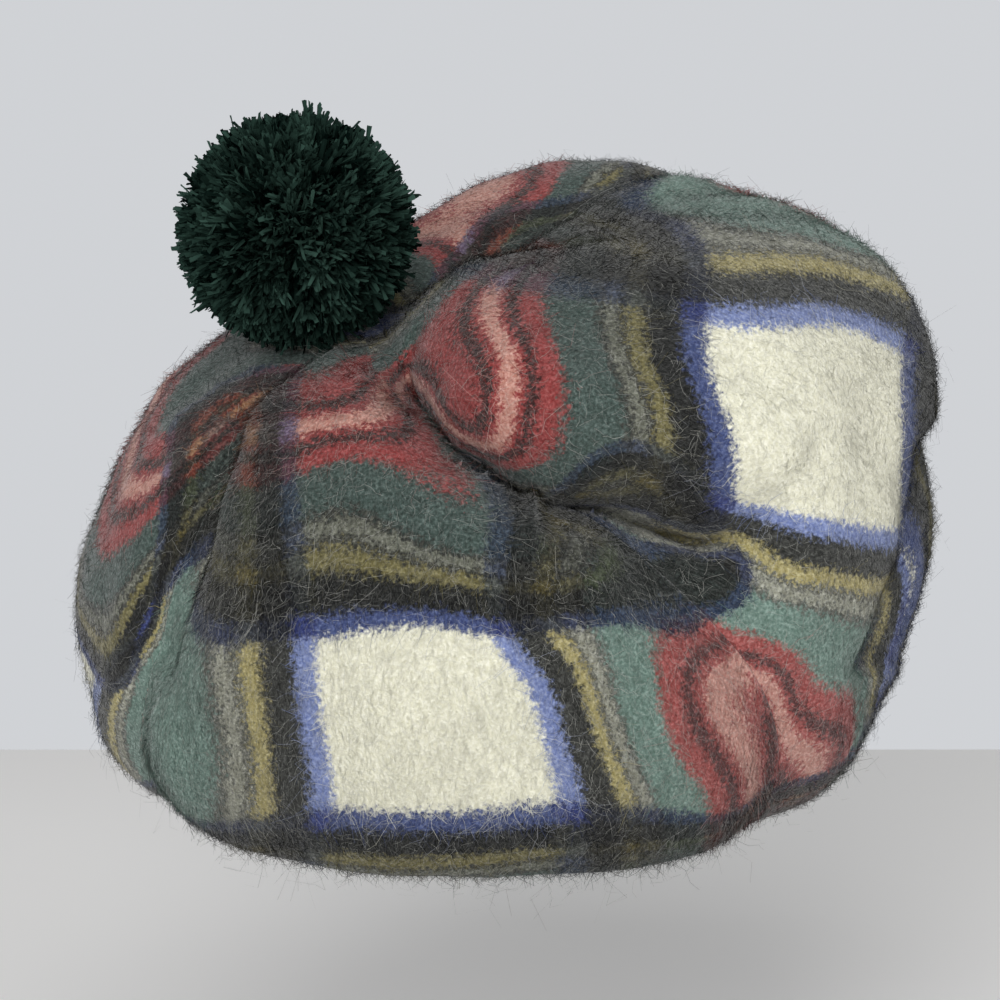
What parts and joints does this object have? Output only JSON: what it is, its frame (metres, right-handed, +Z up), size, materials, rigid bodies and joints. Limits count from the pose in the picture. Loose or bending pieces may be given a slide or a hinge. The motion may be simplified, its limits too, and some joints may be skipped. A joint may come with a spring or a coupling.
{
  "type": "tam o shanter hat",
  "caption": "Slouched bag-shaped tam of brushed tartan cloth gores on a plain headband, with a wool pompom at its apex.",
  "frame": {"origin": "middle of the head opening, level with the lower edge of the headband, where the hat sits on a head", "axes": "+Z up along the head, -Y to the front of the hat as worn, +X to the right seen from the front"},
  "size_m": [0.2953, 0.2706, 0.2313],
  "materials": {
    "tartan": "brushed mohair woven in a large dress tartan of cream, blue, black, green and red",
    "band": "plain dark wool cloth, folded and sewn",
    "yarn": "cut plied wool yarn, bottle green"
  },
  "bodies": {
    "root": {"crown_panel_front": "tartan", "crown_panel_right": "tartan", "crown_panel_back": "tartan", "crown_panel_left": "tartan", "headband": "band", "pompom": "yarn"}
  },
  "joints": []
}
